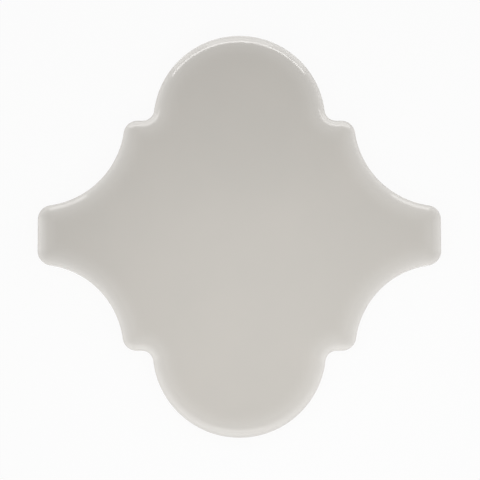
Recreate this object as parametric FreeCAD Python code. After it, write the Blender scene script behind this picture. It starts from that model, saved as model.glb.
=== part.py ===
"""A glazed ceramic wall tile with an arabesque outline, pressed and fired as one piece.

The tile lies on its keyed back with the glazed face up. Sizes are in millimetres.
The origin is the middle of the bedding plane, +Z points out of the face, and the two lobes lie along Y.
"""

import FreeCAD, Part
import math
import os
from FreeCAD import Vector

# Outline: a round lobe at each end of Y, a blunt wing at each end of X, and four bays that take the neighbours' lobes
tile_width = 120.0  # from wing end to wing end
shoulder_flat = 1.55  # straight stretch of each shoulder, between its two corners
lobe_corner_radius = 3.45  # hollow corner where a lobe rises from a shoulder
shoulder_corner_radius = 4.15  # round corner between a shoulder and a bay
wing_flat = 9.5  # straight stretch of each wing end
wing_corner_radius = 4.2  # round corners of a wing end

# Section of the edge: a back chamfer, an upright wall, a tight rim and a wide cushion up to the flat of the face
tile_thickness = 8.3  # from the bedding plane to the flat of the face
back_chamfer = 0.6
rim_radius = 1.0  # tight round at the top of the wall
cushion_width = 3.8  # from the wall to the flat
cushion_slope = 47.5  # steepest slope of the cushion, where the rim takes over, in degrees
least_flat_corner = 0.1  # corner radius that the cushion always leaves on the flat

# Keying of the back: crossing ribs that stand in one shallow recess inside a plain border
key_depth = 0.6
key_border = 4.5  # from the wall to the recess
rib_pitch = 8.0
rib_width = 1.6  # at the bedding plane
rib_flank_angle = 30.0  # of each flank from the upright, in degrees
least_pocket_share = 0.3  # a pocket cut off by the border is pressed only if it keeps this share of a whole one

EAST, NORTH, SOUTH, UP = Vector(1, 0, 0), Vector(0, 1, 0), Vector(0, -1, 0), Vector(0, 0, 1)
ORIGIN = Vector(0, 0, 0)
UPRIGHT = math.pi / 2


def shared_arc_radius():
    """Radius of the lobes and the bays alike, so that a lobe fits the neighbours' bays and the width comes out.

    Half the width is sqrt(r^2 + 2rp) + shoulder_flat + sqrt(r^2 + 2rq), with p and q the corner radii beside it.
    """
    p, q = lobe_corner_radius, shoulder_corner_radius
    run = tile_width / 2 - shoulder_flat
    return run**2 * (math.sqrt(run**2 + 4 * p * q) - p - q) / (2 * (run**2 - (p - q) ** 2))


def tangent_run(corner_radius):
    """Distance from an arc's centre, along a line through it, to where a corner between arc and line starts."""
    return math.sqrt(arc_radius**2 + 2 * arc_radius * corner_radius)


# Centres of the outline's arcs, in the quarter where X and Y are positive
arc_radius = shared_arc_radius()
shoulder_y = wing_flat / 2 + tangent_run(wing_corner_radius)
lobe = Vector(0, shoulder_y, 0)
bay = Vector(tile_width / 2, shoulder_y, 0)
lobe_corner = Vector(tangent_run(lobe_corner_radius), shoulder_y + lobe_corner_radius, 0)
shoulder_corner = Vector(lobe_corner.x + shoulder_flat, shoulder_y - shoulder_corner_radius, 0)
wing_corner = Vector(tile_width / 2 - wing_corner_radius, wing_flat / 2, 0)

# Rim and cushion have one slope where they meet, and the cushion leaves a corner on the flat
tightest_corner = min(wing_corner_radius, shoulder_corner_radius)
flat_inset = min(cushion_width, tightest_corner - least_flat_corner)
rim_slope = math.radians(cushion_slope)
cushion_radius = rim_radius + (flat_inset - rim_radius) / math.sin(rim_slope)
rim_height = tile_thickness - cushion_radius + (cushion_radius - rim_radius) * math.cos(rim_slope)


def direction(start, end):
    return (end - start).normalize()


def arc(centre, radius, start, end):
    """The shorter arc about a centre, from one direction to another."""
    middle = (start + end).normalize()
    return Part.Arc(*[centre + way * radius for way in (start, middle, end)]).toShape()


def quarter_outline(inset):
    """Edges of a quarter of the outline, moved inwards by inset, from the lobe's crown to the wing end's middle."""
    to_lobe_corner = direction(lobe, lobe_corner)
    to_shoulder_corner = direction(bay, shoulder_corner)
    to_wing_corner = direction(bay, wing_corner)
    shoulder_start = lobe_corner + SOUTH * (lobe_corner_radius + inset)
    wing_end = wing_corner + EAST * (wing_corner_radius - inset)
    return [
        arc(lobe, arc_radius - inset, NORTH, to_lobe_corner),
        arc(lobe_corner, lobe_corner_radius + inset, -to_lobe_corner, SOUTH),
        Part.makeLine(shoulder_start, shoulder_start + EAST * shoulder_flat),
        arc(shoulder_corner, shoulder_corner_radius - inset, NORTH, -to_shoulder_corner),
        arc(bay, arc_radius + inset, to_shoulder_corner, to_wing_corner),
        arc(wing_corner, wing_corner_radius - inset, -to_wing_corner, EAST),
        Part.makeLine(wing_end, wing_end + SOUTH * wing_flat / 2),
    ]


def outline(inset=0.0, height=0.0):
    """The whole closed outline, moved inwards by inset, at a height."""
    quarter = quarter_outline(inset)
    half = quarter + [edge.mirror(ORIGIN, NORTH) for edge in quarter]
    whole = half + [edge.mirror(ORIGIN, EAST) for edge in half]
    return Part.Wire(Part.__sortEdges__(whole)).translated(UP * height)


def edge_section():
    """Open wire of the edge's section at a lobe's crown, from the bedding plane to the flat of the face."""

    def at(inward, height):
        return Vector(0, lobe.y + arc_radius - inward, height)

    def on_rim(slope):
        return at(rim_radius * (1 - math.sin(slope)), rim_height + rim_radius * math.cos(slope))

    def on_cushion(slope):
        drop = cushion_radius * (1 - math.cos(slope))
        return at(flat_inset - cushion_radius * math.sin(slope), tile_thickness - drop)

    wall_foot = at(0, back_chamfer)
    rim_slopes = (UPRIGHT, (UPRIGHT + rim_slope) / 2, rim_slope)
    cushion_slopes = (rim_slope, rim_slope / 2, 0)
    return Part.Wire(
        [
            Part.makeLine(at(back_chamfer, 0), wall_foot),
            Part.makeLine(wall_foot, on_rim(UPRIGHT)),
            Part.Arc(*[on_rim(slope) for slope in rim_slopes]).toShape(),
            Part.Arc(*[on_cushion(slope) for slope in cushion_slopes]).toShape(),
        ]
    )


def pressed_blank():
    """The tile before its back is keyed: the edge's section swept round the outline, closed by face and back."""
    sweep = Part.BRepOffsetAPI.MakePipeShell(outline())
    sweep.setBiNormalMode(UP)
    sweep.add(edge_section())
    sweep.build()
    back = Part.Face(outline(back_chamfer))
    face = Part.Face(outline(flat_inset, tile_thickness))
    return Part.Solid(Part.Shell(sweep.shape().Faces + [back, face])).removeSplitter()


def rib_along_y(x):
    """A rib that runs right across the back, wider at its root than at the bedding plane."""
    foot = rib_width / 2
    root = foot + key_depth * math.tan(math.radians(rib_flank_angle))
    corners = [(-foot, 0), (foot, 0), (root, key_depth), (-root, key_depth), (-foot, 0)]
    profile = Part.makePolygon([Vector(x + across, -tile_width, height) for across, height in corners])
    return Part.Face(profile).extrude(NORTH * 2 * tile_width)


def key_pockets():
    """The hollows between the ribs, without the slivers along the border."""
    recess = Part.Face(outline()).makeOffset2D(-key_border).extrude(UP * key_depth)
    ribs_each_side = math.ceil(tile_width / 2 / rib_pitch)
    ribs = [rib_along_y(i * rib_pitch) for i in range(-ribs_each_side, ribs_each_side + 1)]
    crossing_ribs = [rib.rotated(ORIGIN, UP, 90) for rib in ribs]
    pockets = recess.cut(ribs + crossing_ribs).Solids
    whole = max(pocket.Volume for pocket in pockets)
    return [pocket for pocket in pockets if pocket.Volume >= least_pocket_share * whole]


def arabesque_tile():
    return pressed_blank().cut(key_pockets())


tile = arabesque_tile()
os.makedirs("parts", exist_ok=True)
tile.exportStep("parts/arabesque_tile.step")
print("size", tile.BoundBox)
print("volume", tile.Volume, "solids", len(tile.Solids), "faces", len(tile.Faces), "valid", tile.isValid())
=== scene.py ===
"""Looks of a glazed arabesque wall tile that lies face up on a white table.

Lengths are in metres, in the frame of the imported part: the origin is the middle of the bedding plane,
+Z comes out of the glazed face, and the two lobes lie along Y.
"""

import math

import bmesh
import bpy
from mathutils import Matrix, Vector, kdtree, noise


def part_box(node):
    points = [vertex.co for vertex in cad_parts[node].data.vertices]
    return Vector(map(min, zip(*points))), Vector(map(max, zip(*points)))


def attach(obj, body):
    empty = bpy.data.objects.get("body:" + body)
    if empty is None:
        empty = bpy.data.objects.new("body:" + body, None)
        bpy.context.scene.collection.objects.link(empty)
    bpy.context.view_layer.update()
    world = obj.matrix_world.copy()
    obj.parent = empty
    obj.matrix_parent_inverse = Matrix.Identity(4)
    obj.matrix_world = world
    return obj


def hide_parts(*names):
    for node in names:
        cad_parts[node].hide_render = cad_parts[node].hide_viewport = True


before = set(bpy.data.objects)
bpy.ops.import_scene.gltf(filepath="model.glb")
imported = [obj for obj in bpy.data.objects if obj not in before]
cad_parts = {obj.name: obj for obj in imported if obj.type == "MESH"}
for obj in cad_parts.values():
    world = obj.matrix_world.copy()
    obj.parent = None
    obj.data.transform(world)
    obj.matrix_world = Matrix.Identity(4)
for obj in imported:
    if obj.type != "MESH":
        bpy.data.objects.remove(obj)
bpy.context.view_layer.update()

mm = 0.001
NODE = "arabesque_tile"
tile_low, tile_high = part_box(NODE)
half_width, half_height, face_height = tile_high

# Outline of the part: corners and straight stretches
lobe_corner_radius = 3.45 * mm
shoulder_corner_radius = 4.15 * mm
wing_flat = 9.5 * mm
wing_corner_radius = 4.2 * mm

# Section of the edge, as on the part
back_chamfer = 0.6 * mm
rim_radius = 1.0 * mm
rim_slope = math.radians(47.5)
flat_inset = 3.8 * mm
cushion_radius = rim_radius + (flat_inset - rim_radius) / math.sin(rim_slope)
rim_height = face_height - cushion_radius + (cushion_radius - rim_radius) * math.cos(rim_slope)

# The glaze ends in a small wavy bead on the wall, proud of the bare body below it
glaze_line = 2.3 * mm
glaze_line_wave = 0.55 * mm
glaze_wave_length = 14 * mm
glaze_wave_seed = 1.0
glaze_bead = 0.14 * mm
bead_reach = 2 * glaze_bead  # what lies this near to the glaze line waves with it

# Towards the wall the colour grows paler, from this far in: partly glaze that runs thin, partly painted
# light that brightens the rim and the edge of the flat
thin_glaze_and_rim_light_reach = 7.5 * mm
THIN_GLAZE_AND_RIM_LIGHT = "thin_glaze_and_rim_light_mask"

# How far the fired face strays from a plane
face_wave = 0.012 * mm
face_wave_length = 30 * mm
face_wave_seed = 5.0

# Keying of the back, as on the part
key_depth = 0.6 * mm
key_border = 4.5 * mm
rib_pitch = 8.0 * mm
rib_width = 1.6 * mm
rib_flank = math.radians(30)
least_pocket_share = 0.3

# Fineness of the mesh
arc_step = math.radians(1.5)
corner_step = math.radians(6)
rim_steps = 6
cushion_steps = 14
bead_steps = 3
face_grid = 2.0 * mm
wall_point_spacing = 0.1 * mm  # of the points that distances from the wall are measured to
merge_distance = 0.001 * mm
closed_corner = 0.02 * mm  # radius at which a corner of the border closes to a point
closing_reach = 0.2 * mm  # from a closing corner's centre to what is merged there
shortest_pocket_edge = 0.45 * mm  # shorter ones are closed up
sharp_angle = math.radians(28)

NORTH, SOUTH, EAST, UP = Vector((0, 1, 0)), Vector((0, -1, 0)), Vector((1, 0, 0)), Vector((0, 0, 1))
UPRIGHT = math.pi / 2
BISCUIT = 1  # place of the bare clay among the tile's materials, after the glaze

# Lobes and bays share one radius, which the height of the tile gives
lobe_run = half_height - wing_flat / 2
arc_radius = lobe_run**2 / (2 * (lobe_run + wing_corner_radius))
shoulder_y = half_height - arc_radius


def tangent_run(corner_radius):
    """Distance from an arc's centre, along a line through it, to a corner that joins arc and line."""
    return math.sqrt(arc_radius**2 + 2 * arc_radius * corner_radius)


# Centres of the outline's arcs, in the quarter where X and Y are positive
lobe = Vector((0, shoulder_y, 0))
bay = Vector((half_width, shoulder_y, 0))
lobe_corner = Vector((tangent_run(lobe_corner_radius), shoulder_y + lobe_corner_radius, 0))
shoulder_corner = bay - Vector((tangent_run(shoulder_corner_radius), shoulder_corner_radius, 0))
wing_corner = Vector((half_width - wing_corner_radius, wing_flat / 2, 0))


def go_round(bm, last, centre, heading, step):
    """Carries the outline's last vertex round a centre, the shorter way, to a heading from there."""
    angle = (last.co - centre).xy.angle_signed(heading.xy)
    steps = math.ceil(abs(angle) / step)
    made = bmesh.ops.spin(bm, geom=[last], cent=centre, axis=UP, angle=-angle, steps=steps)
    return made["geom_last"][0]


def go_to(bm, last, point):
    """Draws the outline straight on from its last vertex to a point."""
    made = bmesh.ops.extrude_vert_indiv(bm, verts=[last])
    made["verts"][0].co = point
    return made["verts"][0]


def outline_face(bm):
    """The outline as one face: a quarter drawn from the lobe's crown to the wing end, mirrored twice."""
    last = bm.verts.new(lobe + NORTH * arc_radius)
    last = go_round(bm, last, lobe, lobe_corner - lobe, arc_step)
    last = go_round(bm, last, lobe_corner, SOUTH, corner_step)
    last = go_to(bm, last, shoulder_corner + NORTH * shoulder_corner_radius)
    last = go_round(bm, last, shoulder_corner, bay - shoulder_corner, corner_step)
    last = go_round(bm, last, bay, wing_corner - bay, arc_step)
    last = go_round(bm, last, wing_corner, EAST, corner_step)
    go_to(bm, last, EAST * half_width)
    for axis in ("Y", "X"):
        geom = bm.verts[:] + bm.edges[:]
        bmesh.ops.mirror(bm, geom=geom, matrix=Matrix.Identity(4), merge_dist=merge_distance, axis=axis)
    bmesh.ops.remove_doubles(bm, verts=bm.verts, dist=merge_distance)
    return bmesh.ops.edgeloop_fill(bm, edges=bm.edges)["faces"][0]


def step_in(bm, face, inward, onward):
    """Narrows a face all round and moves it along its normal, leaving a ring behind."""
    bmesh.ops.inset_region(bm, faces=[face], thickness=inward, depth=onward, use_even_offset=True)


def follow_section(bm, face, section):
    """Takes a face along a section of (distance from the wall, distance along the face's normal)."""
    for (inset, travel), (next_inset, next_travel) in zip(section, section[1:]):
        step_in(bm, face, next_inset - inset, next_travel - travel)


def slopes(first, last, steps):
    """Evenly spaced slopes from the first to the last, both among them."""
    return [first + (last - first) * i / steps for i in range(steps + 1)]


def face_section():
    """Section from the glaze line up the wall, over the rim and the cushion, to the flat."""
    points = [(0, glaze_line), (0, (glaze_line + rim_height) / 2)]
    for slope in slopes(UPRIGHT, rim_slope, rim_steps):
        points.append((rim_radius * (1 - math.sin(slope)), rim_height + rim_radius * math.cos(slope)))
    for slope in slopes(rim_slope, 0, cushion_steps)[1:]:
        drop = cushion_radius * (1 - math.cos(slope))
        points.append((flat_inset - cushion_radius * math.sin(slope), face_height - drop))
    return points


def back_section():
    """Section from the glaze line round the bead, down the bare wall and over the chamfer, to the back."""
    points = []
    for slope in slopes(0, UPRIGHT, bead_steps):
        points.append((glaze_bead * (1 - math.cos(slope)), glaze_bead * math.sin(slope)))
    points += [(glaze_bead, glaze_line - back_chamfer), (back_chamfer, glaze_line)]
    return points


def raise_blank(bm, back):
    """Raises the tile over its back, with a rounded edge and a bare lower wall, and returns the flat."""
    bmesh.ops.translate(bm, verts=bm.verts, vec=UP * glaze_line)
    grown = bmesh.ops.extrude_face_region(bm, geom=[back])["geom"]
    flat = next(piece for piece in grown if isinstance(piece, bmesh.types.BMFace))
    glaze_foot, *upper_section = face_section()
    bmesh.ops.translate(bm, verts=flat.verts, vec=UP * (upper_section[0][1] - glaze_foot[1]))
    bmesh.ops.recalc_face_normals(bm, faces=bm.faces)
    back.material_index = BISCUIT
    follow_section(bm, flat, upper_section)
    follow_section(bm, back, back_section())
    return flat


def cut_in_squares(bm, faces, across, along):
    """Cuts flat faces by upright planes at each x of across and each y of along, and returns the pieces."""
    for normal, places in ((EAST, across), (NORTH, along)):
        for place in places:
            edges = {edge for face in faces for edge in face.edges}
            verts = {vert for face in faces for vert in face.verts}
            geom = list(faces) + list(edges) + list(verts)
            cut = bmesh.ops.bisect_plane(
                bm, geom=geom, dist=merge_distance, plane_co=normal * place, plane_no=normal
            )
            faces = {piece for piece in cut["geom"] if isinstance(piece, bmesh.types.BMFace)}
    return faces


def evenly(pitch, reach):
    """Places at a pitch on both sides of 0, out to a reach."""
    count = math.ceil(reach / pitch)
    return [i * pitch for i in range(-count, count + 1)]


def wave(place, length, seed):
    """Smooth noise from -1 to 1 that repeats exactly from run to run."""
    return noise.noise(Vector((place.x / length, place.y / length, seed)))


def wave_flat(bm, flat):
    """Cuts the flat of the face into small squares and lets it waver as a fired face does."""
    squares = cut_in_squares(bm, {flat}, evenly(face_grid, half_width), evenly(face_grid, half_height))
    for vert in {vert for square in squares for vert in square.verts}:
        vert.co.z -= face_wave * (1 + wave(vert.co, face_wave_length, face_wave_seed)) / 2


def back_of(bm):
    """The one large face that lies on the bedding plane."""
    return max(bm.faces, key=lambda part: -part.normal.z * part.calc_area())


def leave_border(bm, back):
    """Narrows the back by the border, which is wider than the round corners, so each closes to a point."""
    inset = back_chamfer
    corners = [(wing_corner_radius, wing_corner), (shoulder_corner_radius, shoulder_corner)]
    for radius, corner in sorted(corners, key=lambda entry: entry[0]):
        step_in(bm, back, radius - closed_corner - inset, 0)
        inset = radius - closed_corner
        for east, north in ((1, 1), (1, -1), (-1, 1), (-1, -1)):
            centre = Vector((corner.x * east, corner.y * north, tile_low.z))
            closing = [vert for vert in back.verts if (vert.co - centre).length < closing_reach]
            bmesh.ops.pointmerge(bm, verts=closing, merge_co=centre)
            back = back_of(bm)
    step_in(bm, back, key_border - inset, 0)
    return back


def lies_in_pocket(face):
    """True if a square of the back lies between the ribs."""
    middle = face.calc_center_median()
    return all(abs(place - rib_pitch * round(place / rib_pitch)) > rib_width / 2 for place in middle.xy)


def press_key(bm, back, recess):
    """Presses the drafted pockets between the crossing ribs into the back, inside a plain border."""
    back = leave_border(bm, back)
    back[recess] = True
    ribs = evenly(rib_pitch, half_width)
    rib_edges = [rib + side * rib_width / 2 for rib in ribs for side in (-1, 1)]
    squares = cut_in_squares(bm, {back}, rib_edges, rib_edges)
    edges = {edge for square in squares for edge in square.edges}
    short = [edge for edge in edges if edge.calc_length() < shortest_pocket_edge]
    bmesh.ops.collapse(bm, edges=short)
    pockets = [part for part in bm.faces if part[recess] and lies_in_pocket(part)]
    whole = max(pocket.calc_area() for pocket in pockets)
    pockets = [pocket for pocket in pockets if pocket.calc_area() >= least_pocket_share * whole]
    flank_run = key_depth * math.tan(rib_flank)
    bmesh.ops.inset_individual(
        bm, faces=pockets, thickness=flank_run, depth=-key_depth, use_even_offset=True
    )


def wall_points(outline):
    """A tree of closely spaced points along the outline, to measure distances from the wall with."""
    points = []
    for edge in outline.edges:
        start, end = [vert.co.copy() for vert in edge.verts]
        count = math.ceil(edge.calc_length() / wall_point_spacing)
        points += [start.lerp(end, i / count) for i in range(count)]
    tree = kdtree.KDTree(len(points))
    for index, point in enumerate(points):
        tree.insert(point, index)
    tree.balance()
    return tree


def thin_glaze_and_rim_light_at(place, wall):
    """How pale the glaze is painted at a place, from 0 on the flat to 1 at the wall: partly thin glaze,
    partly painted rim light.
    """
    inset = wall.find((place.x, place.y, 0))[2]
    return max(0, 1 - inset / thin_glaze_and_rim_light_reach) ** 2


def run_glaze(bm, wall, thin_glaze_and_rim_light_share):
    """Notes how pale the glaze grows all over, partly as thin glaze and partly as painted rim light, and
    lets the line where it ends wave up and down the wall.
    """
    for vert in bm.verts:
        vert[thin_glaze_and_rim_light_share] = thin_glaze_and_rim_light_at(vert.co, wall)
        if abs(vert.co.z - glaze_line) < bead_reach:
            vert.co.z += glaze_line_wave * wave(vert.co, glaze_wave_length, glaze_wave_seed)


def shade_smooth(bm):
    """Shades the faces smooth across every edge that isn't sharp."""
    for face in bm.faces:
        face.smooth = True
    for edge in bm.edges:
        edge.smooth = edge.calc_face_angle(0) < sharp_angle


def placed(name, bm, materials):
    """The finished shape as an object of the scene."""
    mesh = bpy.data.meshes.new(name)
    bm.to_mesh(mesh)
    bm.free()
    for material in materials:
        mesh.materials.append(material)
    made = bpy.data.objects.new(name, mesh)
    bpy.context.scene.collection.objects.link(made)
    return made


def fired_tile(materials):
    """The tile as it comes from the kiln: glazed face and rim, bare lower wall, and a bare, keyed back."""
    bm = bmesh.new()
    recess = bm.faces.layers.int.new("recess")
    thin_glaze_and_rim_light_share = bm.verts.layers.float.new(THIN_GLAZE_AND_RIM_LIGHT)
    back = outline_face(bm)
    wall = wall_points(back)
    flat = raise_blank(bm, back)
    wave_flat(bm, flat)
    press_key(bm, back, recess)
    bm.faces.layers.int.remove(recess)
    run_glaze(bm, wall, thin_glaze_and_rim_light_share)
    shade_smooth(bm)
    return placed("tile", bm, materials)


def add(tree, kind, inputs=(), **settings):
    """A new shader node; an input that is given a socket is linked to it, and any other is set."""
    made = tree.nodes.new("ShaderNode" + kind)
    for name, value in settings.items():
        setattr(made, name, value)
    for name, value in dict(inputs).items():
        if isinstance(value, bpy.types.NodeSocket):
            tree.links.new(value, made.inputs[name])
        else:
            made.inputs[name].default_value = value
    return made


def new_material(name):
    """A material with an empty node tree, and that tree."""
    material = bpy.data.materials.new(name)
    material.use_nodes = True
    material.node_tree.nodes.clear()
    return material, material.node_tree


def blended(tree, share, first, second):
    """A colour that goes from the first to the second with the share."""
    mix = add(tree, "Mix", {"Factor": share}, data_type="RGBA")
    for socket, colour in (("A_Color", first), ("B_Color", second)):
        target = next(entry for entry in mix.inputs if entry.identifier == socket)
        if isinstance(colour, bpy.types.NodeSocket):
            tree.links.new(colour, target)
        else:
            target.default_value = (*colour, 1)
    return next(entry for entry in mix.outputs if entry.identifier == "Result_Color")


def ranged(tree, value, low, high, to_low=0.0, to_high=1.0, way="LINEAR"):
    """A value taken from one range to another, and held at its ends."""
    inputs = {"Value": value, "From Min": low, "From Max": high, "To Min": to_low, "To Max": to_high}
    return add(tree, "MapRange", inputs, interpolation_type=way).outputs["Result"]


def combined(tree, operation, first, second):
    """What an operation makes of two values."""
    return add(tree, "Math", {0: first, 1: second}, operation=operation).outputs[0]


def cloudy(tree, place, per_metre, detail, roughness=0.5):
    """Noise at a place, with about so many clouds to the metre."""
    inputs = {"Vector": place, "Scale": per_metre, "Detail": detail, "Roughness": roughness}
    return add(tree, "TexNoise", inputs).outputs["Fac"]


def bumped(tree, height, strength, depth):
    """The surface's normal with the bumps of a height."""
    return add(tree, "Bump", {"Height": height, "Strength": strength, "Distance": depth}).outputs["Normal"]


def surfaced(tree, inputs):
    """Ends a node tree in one physical surface with these inputs."""
    shader = add(tree, "BsdfPrincipled", inputs)
    add(tree, "OutputMaterial", {"Surface": shader.outputs["BSDF"]})


# Glaze: a warm light grey that grows paler over the cushion and the rim, partly where it thins out and
# partly as painted light on the rim
glaze_colour = (0.574, 0.547, 0.505)
cloud_colour = (0.558, 0.534, 0.494)
# colour at the wall: partly glaze thinned over the edge, partly painted light that brightens the rim
thin_glaze_and_rim_light_colour = (0.745, 0.722, 0.688)
glaze_ior = 1.55
glaze_roughness = (0.13, 0.17)
glaze_clouds_per_metre, glaze_cloud_detail = 45, 3
glaze_cloud_colour_range = (0.35, 0.65)
glaze_cloud_gloss_range = (0.3, 0.7)
ripples_per_metre, ripple_detail = 260, 1
ripple_strength, ripple_depth = 0.05, 0.1 * mm


def glaze_material():
    """Glossy fired glaze with faint clouds, a slight ripple, and a paler edge that is partly thin glaze and
    partly painted rim light.
    """
    material, tree = new_material("glaze")
    place = add(tree, "TexCoord").outputs["Object"]
    thin_glaze_and_rim_light_share = add(tree, "Attribute", attribute_name=THIN_GLAZE_AND_RIM_LIGHT).outputs["Fac"]
    clouds = cloudy(tree, place, glaze_clouds_per_metre, glaze_cloud_detail)
    body = blended(tree, ranged(tree, clouds, *glaze_cloud_colour_range), glaze_colour, cloud_colour)
    ripple = cloudy(tree, place, ripples_per_metre, ripple_detail)
    inputs = {
        # paler towards the wall: partly thin glaze, partly painted rim light
        "Base Color": blended(tree, thin_glaze_and_rim_light_share, body, thin_glaze_and_rim_light_colour),
        "Roughness": ranged(tree, clouds, *glaze_cloud_gloss_range, *glaze_roughness),
        "IOR": glaze_ior,
        "Normal": bumped(tree, ripple, ripple_strength, ripple_depth),
    }
    surfaced(tree, inputs)
    return material


# Biscuit: the bare fired body of the lower wall and the back
biscuit_colour = (0.70, 0.625, 0.52)
biscuit_dark = (0.60, 0.52, 0.42)
biscuit_roughness = (0.82, 0.95)
firing_clouds_per_metre, firing_detail, firing_roughness = 70, 5, 0.6
firing_range = (0.3, 0.7)
grains_per_metre, grain_detail, grain_roughness = 2200, 3, 0.7
grain_range = (0.2, 0.8)
pores_per_metre = 900
pore_stain, pore_slope = 0.12, 0.2  # how far round a pore's middle its stain and its hollow reach
grain_strength, grain_depth = 0.35, 0.15 * mm


def biscuit_material():
    """Matt fired clay with a fine grain, small pores and uneven firing."""
    material, tree = new_material("biscuit")
    place = add(tree, "TexCoord").outputs["Object"]
    firing = cloudy(tree, place, firing_clouds_per_metre, firing_detail, firing_roughness)
    grain = cloudy(tree, place, grains_per_metre, grain_detail, grain_roughness)
    pores = add(tree, "TexVoronoi", {"Vector": place, "Scale": pores_per_metre}).outputs["Distance"]
    body = blended(tree, ranged(tree, firing, *firing_range), biscuit_colour, biscuit_dark)
    relief = combined(tree, "MULTIPLY", grain, ranged(tree, pores, 0.0, pore_slope))
    inputs = {
        "Base Color": blended(tree, ranged(tree, pores, pore_stain, 0.0), body, biscuit_dark),
        "Roughness": ranged(tree, grain, *grain_range, *biscuit_roughness),
        "Normal": bumped(tree, relief, grain_strength, grain_depth),
    }
    surfaced(tree, inputs)
    return material


# Stage: a white table in a white tent, whose walls give more light than its roof
white = 0.985
table_spread = 25  # how many times as wide as the tile
table_gap = 0.05 * mm  # between the tile's back and the table
table_lip = 1.0 * mm  # how far the table reaches in under the tile
table_shadow_share = 0.06
table_bounce = 0.9
tent_roof, tent_walls, tent_below = 0.13, 1.85, 0.9
tent_dim_side = Vector((0.5, -0.85, 0))
tent_dim_share = 0.79
tent_skirt = -0.1  # Z of the headings at which the walls have gone over into what is below


def grey(level):
    """An opaque grey."""
    return (level, level, level, 1)


def seen_directly(tree):
    """1 for what the camera, a reflection or glass sees, and 0 for light that is only scattered."""
    path = add(tree, "LightPath").outputs
    mirrored = combined(tree, "MAXIMUM", path["Is Camera Ray"], path["Is Glossy Ray"])
    return combined(tree, "MAXIMUM", mirrored, path["Is Transmission Ray"])


def table_material():
    """White that looks even from above, still takes the tile's shadow, and is clear from below."""
    material, tree = new_material("white_table")
    bounce = add(tree, "BsdfDiffuse", {"Color": grey(table_bounce)})
    shadow = add(tree, "BsdfDiffuse", {"Color": grey(table_shadow_share)})
    glow = add(tree, "Emission", {"Strength": white - table_shadow_share})
    shown = add(tree, "AddShader", {0: shadow.outputs[0], 1: glow.outputs[0]})
    top = add(tree, "MixShader", {0: seen_directly(tree), 1: bounce.outputs[0], 2: shown.outputs[0]})
    below = add(tree, "NewGeometry").outputs["Backfacing"]
    clear = add(tree, "BsdfTransparent", {"Color": grey(1)})
    surface = add(tree, "MixShader", {0: below, 1: top.outputs[0], 2: clear.outputs[0]})
    add(tree, "OutputMaterial", {"Surface": surface.outputs[0]})
    return material


def white_table():
    """A wide table, open just inside the tile's outline, so that the back is lit and seen from below."""
    bm = bmesh.new()
    middle = outline_face(bm)
    edge_of_tile = bm.edges[:]
    step_in(bm, middle, table_lip, 0)
    bmesh.ops.delete(bm, geom=[middle], context="FACES_ONLY")
    spread = bmesh.ops.extrude_edge_only(bm, edges=edge_of_tile)["geom"]
    far_verts = [piece for piece in spread if isinstance(piece, bmesh.types.BMVert)]
    bmesh.ops.scale(bm, verts=far_verts, vec=(table_spread, table_spread, 1))
    bmesh.ops.translate(bm, verts=bm.verts, vec=UP * (tile_low.z - table_gap))
    bmesh.ops.recalc_face_normals(bm, faces=bm.faces)
    if next(iter(bm.faces)).normal.z < 0:
        bmesh.ops.reverse_faces(bm, faces=bm.faces)
    table = placed("table", bm, [table_material()])


def white_tent():
    """A world whose walls give more light than its roof, and which looks white, or brighter, when seen."""
    world = bpy.data.worlds.new("tent")
    world.use_nodes = True
    tree = world.node_tree
    tree.nodes.clear()
    heading = add(tree, "TexCoord").outputs["Generated"]
    height = add(tree, "SeparateXYZ", {"Vector": heading}).outputs["Z"]
    towards_dim = add(tree, "VectorMath", {0: heading, 1: tent_dim_side}, operation="DOT_PRODUCT")
    walls = ranged(tree, towards_dim.outputs["Value"], 0.0, 1.0, tent_walls, tent_walls * tent_dim_share)
    above = ranged(tree, height, 0.0, 1.0, walls, tent_roof, "SMOOTHSTEP")
    below = ranged(tree, height, tent_skirt, 0.0, tent_below, walls)
    light = combined(tree, "MINIMUM", above, below)
    least = combined(tree, "MULTIPLY", seen_directly(tree), white)
    strength = combined(tree, "MAXIMUM", light, least)
    sky = add(tree, "Background", {"Color": grey(1), "Strength": strength})
    add(tree, "OutputWorld", {"Surface": sky.outputs[0]})
    bpy.context.scene.world = world


# Lamps: a softbox close above the lower half, and slim upright strips close round the tile.
# Radiance is in units of the light that shows as white.
key_middle = Vector((11 * mm, -35 * mm, 107 * mm))
key_size = (120 * mm, 120 * mm)
key_radiance = 1.29

# Foot and top height of each kind of strip, and its radiance
top_line = (12.8 * mm, 16.3 * mm, 5.6)
top_glow = (0 * mm, 13 * mm, 0.95)
top_crown = (8.4 * mm, 13 * mm, 1.4)
bottom_glow = (8 * mm, 16 * mm, 0.325)
bottom_crown = (12.5 * mm, 21 * mm, 0.75)
upper_shoulder = (6.7 * mm, 12.5 * mm, 1.4)
lower_shoulder = (6.7 * mm, 12.5 * mm, 0.7)
shoulder_line = (10.1 * mm, 12 * mm, 2.3)
left_wing = (8 * mm, 13 * mm, 2.3)
right_wing = (8 * mm, 12 * mm, 2.3)
left_end = (6 * mm, 18 * mm, 0.7)
right_end = (6 * mm, 18 * mm, 0.38)

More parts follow.
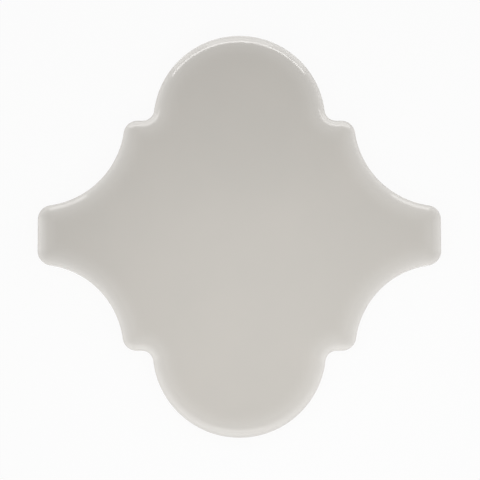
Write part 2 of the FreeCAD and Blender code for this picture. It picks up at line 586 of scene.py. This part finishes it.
# Places and widths of the strips
strips_in_arc = 5
layer_gap = 1 * mm
top_arc_middle = Vector((-0.8 * mm, 22 * mm, 0))
top_arc_radius = 44 * mm
top_line_reach, top_glow_reach = math.radians(40), math.radians(37)
bottom_arc_radius = 28.5 * mm
bottom_glow_reaches = [math.radians(reach) for reach in (32, 46, 60, 75)]
crown_y = 65 * mm
top_crown_width, bottom_crown_width = 26 * mm, 20 * mm
shoulder_strip_x, shoulder_strip_y = 33.2 * mm, 37.6 * mm
shoulder_strip_width = 11.5 * mm
wing_strip_turn = math.radians(18.5)  # of the facing, from -Y towards the tile's middle
wing_strip_reach = 19.5 * mm  # from the bay's middle
wing_strip_width = 10 * mm
end_x = 64 * mm
end_width = 11 * mm


def softbox(name, place, target, size, radiance, scatters=True, mirrors=True):
    """A soft rectangular lamp that faces a target and has an even radiance all over."""
    lamp = bpy.data.lights.new(name, "AREA")
    lamp.shape = "RECTANGLE"
    lamp.size, lamp.size_y = size
    lamp.energy = radiance * math.pi * size[0] * size[1]
    box = bpy.data.objects.new(name, lamp)
    box.location = place
    box.rotation_euler = (target - place).to_track_quat("-Z", "Y").to_euler()
    box.visible_camera = False
    box.visible_diffuse = scatters
    box.visible_glossy = mirrors
    bpy.context.scene.collection.objects.link(box)


def strip(name, place, facing, width, foot, top, radiance):
    """An upright lamp above a place, from a foot to a top height, which shows in the glaze alone."""
    middle = place + UP * (foot + top) / 2
    softbox(name, middle, middle + facing, (width, top - foot), radiance, scatters=False)


def arc_of_strips(name, middle, radius, heading, reach, foot, top, radiance):
    """Strips in an arc about a middle, to both sides of a heading, which face inwards."""
    step = 2 * reach / strips_in_arc
    width = 2 * radius * math.tan(step / 2)
    for index in range(strips_in_arc):
        turn = (index + 0.5) * step - reach
        outward = Matrix.Rotation(-turn, 3, "Z") @ heading
        strip(f"{name}_{index}", middle + outward * radius, -outward, width, foot, top, radiance)


def lobe_strips():
    """A bright line and a glow at the top lobe, a graded glow at the bottom one, a strip at each crown."""
    arc_of_strips("top_line", top_arc_middle, top_arc_radius, NORTH, top_line_reach, *top_line)
    arc_of_strips("top_glow", top_arc_middle, top_arc_radius + layer_gap, NORTH, top_glow_reach, *top_glow)
    strip("top_crown", NORTH * crown_y, SOUTH, top_crown_width, *top_crown)
    strip("bottom_crown", SOUTH * crown_y, NORTH, bottom_crown_width, *bottom_crown)
    for layer, reach in enumerate(bottom_glow_reaches):
        radius = bottom_arc_radius + layer * layer_gap
        arc_of_strips("bottom_glow", -lobe, radius, SOUTH, reach, *bottom_glow)


def side_strips(side, wing, end):
    """The strips of one side, -1 for left and 1 for right: at both shoulders, the wing and its end."""
    x = EAST * side * shoulder_strip_x
    upper, lower = x + NORTH * shoulder_strip_y, x + SOUTH * shoulder_strip_y
    strip("upper_shoulder", upper, SOUTH, shoulder_strip_width, *upper_shoulder)
    strip("shoulder_line", upper + NORTH * layer_gap, SOUTH, shoulder_strip_width, *shoulder_line)
    strip("lower_shoulder", lower, NORTH, shoulder_strip_width, *lower_shoulder)
    facing = Matrix.Rotation(-side * wing_strip_turn, 3, "Z") @ SOUTH
    bay_middle = Vector((side * bay.x, bay.y, 0))
    strip("wing", bay_middle + facing * wing_strip_reach, facing, wing_strip_width, *wing)
    strip("wing_end", EAST * side * end_x, EAST * -side, end_width, *end)


def studio_lamps():
    """The softbox above, which gives its light but doesn't show in the glaze, and all the strips."""
    softbox("key", key_middle, key_middle - UP, key_size, key_radiance, mirrors=False)
    lobe_strips()
    side_strips(-1, left_wing, left_end)
    side_strips(1, right_wing, right_end)


# Camera: leans a little from straight above towards the lower lobe, with the top lobe up in the picture
picture_width = 480
tile_middle_pixel = (239.37, 235.10)
pixels_per_metre = 3362.4
camera_tilt = math.radians(4.8)
camera_distance = 600 * mm
sensor_width = 36.0


def camera():
    """A long lens that aims at the point of the rim's plane that falls on the middle of the picture."""
    data = bpy.data.cameras.new("camera")
    data.sensor_width = sensor_width
    data.lens = sensor_width * camera_distance * pixels_per_metre / picture_width
    across = (picture_width / 2 - tile_middle_pixel[0]) / pixels_per_metre
    along = (tile_middle_pixel[1] - picture_width / 2) / pixels_per_metre
    back = Vector((0, -math.sin(camera_tilt), math.cos(camera_tilt)))
    made = bpy.data.objects.new("camera", data)
    made.location = Vector((across, along, rim_height)) + back * camera_distance
    made.rotation_euler = (camera_tilt, 0, 0)
    bpy.context.scene.collection.objects.link(made)
    bpy.context.scene.camera = made


tile = fired_tile([glaze_material(), biscuit_material()])
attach(tile, "root")
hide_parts(NODE)
white_table()
white_tent()
studio_lamps()
camera()
bpy.context.scene.view_settings.view_transform = "Standard"
